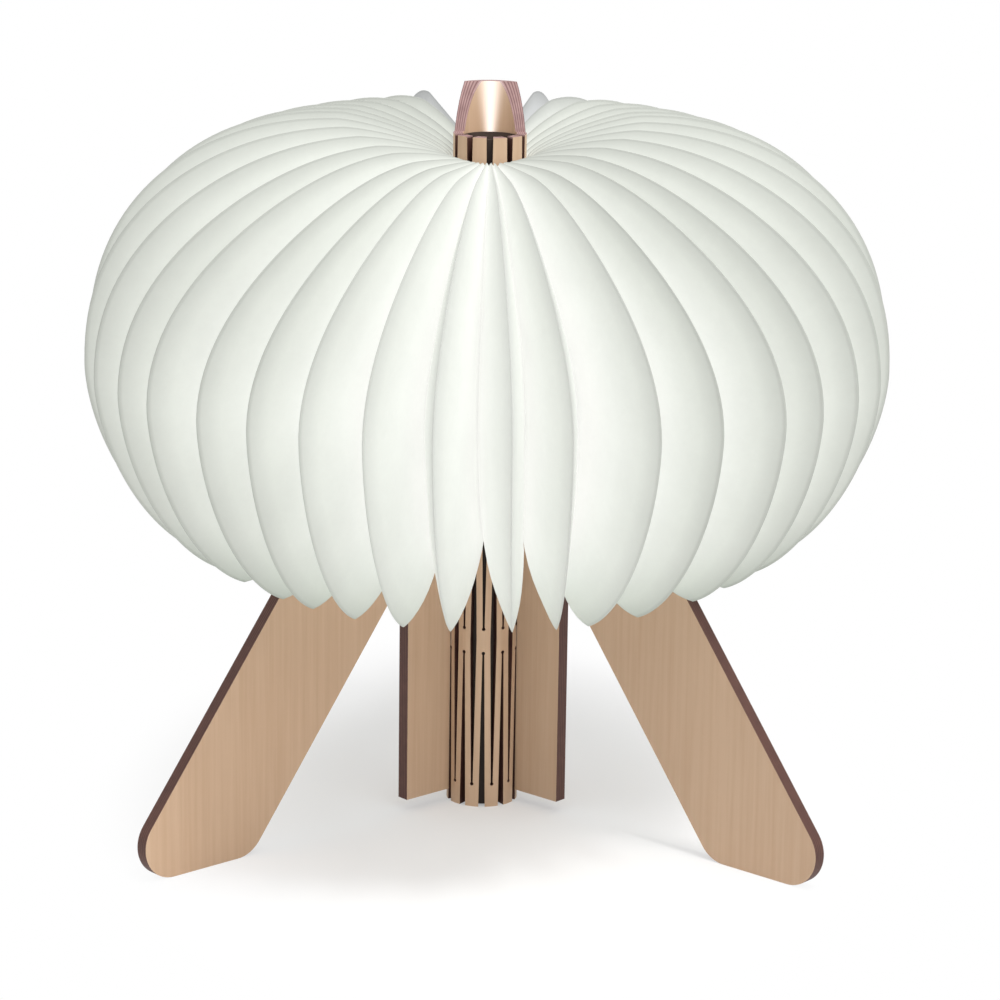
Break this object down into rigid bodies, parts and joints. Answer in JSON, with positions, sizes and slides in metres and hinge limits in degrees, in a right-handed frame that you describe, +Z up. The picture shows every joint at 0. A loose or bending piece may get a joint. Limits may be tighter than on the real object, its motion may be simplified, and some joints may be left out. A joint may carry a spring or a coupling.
{
  "type": "folding table lamp",
  "caption": "Folding table lamp: slatted plywood spine, two swinging plywood legs and a round pleated paper shade that folds up like a fan.",
  "frame": {"origin": "on the floor, on the axis of the spine", "axes": "+Z up along the spine, -Y towards the front, between the legs"},
  "size_m": [0.2876, 0.2787, 0.264],
  "materials": {
    "shade_paper": "matt spun paper, lit from inside",
    "maple_ply": "bare maple plywood with laser-cut edges",
    "magnet": "plated",
    "black_plastic": "moulded",
    "white_plastic": "flexible printed circuit",
    "circuit_board": "solder resist",
    "led": "phosphor",
    "lens": "frosted",
    "steel": "stamped",
    "cell_wrap": "shrink sleeve",
    "reed_glass": "clear"
  },
  "bodies": {
    "spine": {"base_plug": "maple_ply", "battery_cell": "cell_wrap", "cell_cradle": "black_plastic", "charge_board": "circuit_board", "charge_socket": "steel", "control_board": "circuit_board", "control_chips": "black_plastic", "led_band": "white_plastic", "led_chips": "led", "lens_spacer": "black_plastic", "lower_stop_ring": "black_plastic", "middle_stop_ring": "black_plastic", "reed_switch": "reed_glass", "shade_ring": "black_plastic", "spine_liner": "black_plastic", "spine_sleeve": "maple_ply", "uplight_board": "circuit_board", "uplight_led": "led", "uplight_lens": "lens", "upper_stop_ring": "black_plastic"},
    "left_leg": {"left_leg_magnets": "magnet", "left_leg_panel": "maple_ply", "left_lower_knuckle": "black_plastic", "left_upper_knuckle": "black_plastic"},
    "right_leg": {"right_leg_magnets": "magnet", "right_leg_panel": "maple_ply", "right_lower_knuckle": "black_plastic", "right_upper_knuckle": "black_plastic"},
    "left_shade_gore_1": {"left_shade_gore_1": "shade_paper"},
    "left_shade_gore_2": {"left_shade_gore_2": "shade_paper"},
    "left_shade_gore_3": {"left_shade_gore_3": "shade_paper"},
    "left_shade_gore_4": {"left_shade_gore_4": "shade_paper"},
    "left_shade_gore_5": {"left_shade_gore_5": "shade_paper"},
    "left_shade_gore_6": {"left_shade_gore_6": "shade_paper"},
    "right_shade_gore_1": {"right_shade_gore_1": "shade_paper"},
    "right_shade_gore_2": {"right_shade_gore_2": "shade_paper"},
    "right_shade_gore_3": {"right_shade_gore_3": "shade_paper"},
    "right_shade_gore_4": {"right_shade_gore_4": "shade_paper"},
    "right_shade_gore_5": {"right_shade_gore_5": "shade_paper"},
    "right_shade_gore_6": {"right_shade_gore_6": "shade_paper"}
  },
  "joints": [
    {"name": "left_leg_swing", "type": "hinge", "parent": "spine", "child": "left_leg", "pos_m": [0, 0, 0], "axis": [0, 0, 1], "range_deg": [0, 48]},
    {"name": "left_shade_gore_1_fold", "type": "hinge", "parent": "spine", "child": "left_shade_gore_1", "pos_m": [0, 0, 0], "axis": [0, 0, 1], "range_deg": [0, 14.09], "deforming": ["left_shade_gore_1"]},
    {"name": "left_shade_gore_2_fold", "type": "hinge", "parent": "spine", "child": "left_shade_gore_2", "pos_m": [0, 0, 0], "axis": [0, 0, 1], "range_deg": [0, 40.29], "deforming": ["left_shade_gore_2"]},
    {"name": "left_shade_gore_3_fold", "type": "hinge", "parent": "spine", "child": "left_shade_gore_3", "pos_m": [0, 0, 0], "axis": [0, 0, 1], "range_deg": [0, 66.47], "deforming": ["left_shade_gore_3"]},
    {"name": "left_shade_gore_4_fold", "type": "hinge", "parent": "spine", "child": "left_shade_gore_4", "pos_m": [0, 0, 0], "axis": [0, 0, 1], "range_deg": [0, 92.67], "deforming": ["left_shade_gore_4"]},
    {"name": "left_shade_gore_5_fold", "type": "hinge", "parent": "spine", "child": "left_shade_gore_5", "pos_m": [0, 0, 0], "axis": [0, 0, 1], "range_deg": [0, 118.85], "deforming": ["left_shade_gore_5"]},
    {"name": "left_shade_gore_6_fold", "type": "hinge", "parent": "spine", "child": "left_shade_gore_6", "pos_m": [0, 0, 0], "axis": [0, 0, 1], "range_deg": [0, 140.68], "deforming": ["left_shade_gore_6"]},
    {"name": "right_leg_swing", "type": "hinge", "parent": "spine", "child": "right_leg", "pos_m": [0, 0, 0], "axis": [0, 0, -1], "range_deg": [0, 48]},
    {"name": "right_shade_gore_1_fold", "type": "hinge", "parent": "spine", "child": "right_shade_gore_1", "pos_m": [0, 0, 0], "axis": [0, 0, -1], "range_deg": [0, 14.09], "deforming": ["right_shade_gore_1"]},
    {"name": "right_shade_gore_2_fold", "type": "hinge", "parent": "spine", "child": "right_shade_gore_2", "pos_m": [0, 0, 0], "axis": [0, 0, -1], "range_deg": [0, 40.29], "deforming": ["right_shade_gore_2"]},
    {"name": "right_shade_gore_3_fold", "type": "hinge", "parent": "spine", "child": "right_shade_gore_3", "pos_m": [0, 0, 0], "axis": [0, 0, -1], "range_deg": [0, 66.47], "deforming": ["right_shade_gore_3"]},
    {"name": "right_shade_gore_4_fold", "type": "hinge", "parent": "spine", "child": "right_shade_gore_4", "pos_m": [0, 0, 0], "axis": [0, 0, -1], "range_deg": [0, 92.67], "deforming": ["right_shade_gore_4"]},
    {"name": "right_shade_gore_5_fold", "type": "hinge", "parent": "spine", "child": "right_shade_gore_5", "pos_m": [0, 0, 0], "axis": [0, 0, -1], "range_deg": [0, 118.85], "deforming": ["right_shade_gore_5"]},
    {"name": "right_shade_gore_6_fold", "type": "hinge", "parent": "spine", "child": "right_shade_gore_6", "pos_m": [0, 0, 0], "axis": [0, 0, -1], "range_deg": [0, 140.68], "deforming": ["right_shade_gore_6"]}
  ],
  "couplings": [
    {"joint": "left_shade_gore_1_fold", "follows": "left_leg_swing", "ratio": 0.27281},
    {"joint": "left_shade_gore_2_fold", "follows": "left_leg_swing", "ratio": 0.81844},
    {"joint": "left_shade_gore_3_fold", "follows": "left_leg_swing", "ratio": 1.3641},
    {"joint": "left_shade_gore_4_fold", "follows": "left_leg_swing", "ratio": 1.9097},
    {"joint": "left_shade_gore_5_fold", "follows": "left_leg_swing", "ratio": 2.4553},
    {"joint": "left_shade_gore_6_fold", "follows": "left_leg_swing", "ratio": 2.91},
    {"joint": "right_shade_gore_1_fold", "follows": "right_leg_swing", "ratio": 0.27281},
    {"joint": "right_shade_gore_2_fold", "follows": "right_leg_swing", "ratio": 0.81844},
    {"joint": "right_shade_gore_3_fold", "follows": "right_leg_swing", "ratio": 1.3641},
    {"joint": "right_shade_gore_4_fold", "follows": "right_leg_swing", "ratio": 1.9097},
    {"joint": "right_shade_gore_5_fold", "follows": "right_leg_swing", "ratio": 2.4553},
    {"joint": "right_shade_gore_6_fold", "follows": "right_leg_swing", "ratio": 2.91}
  ]
}
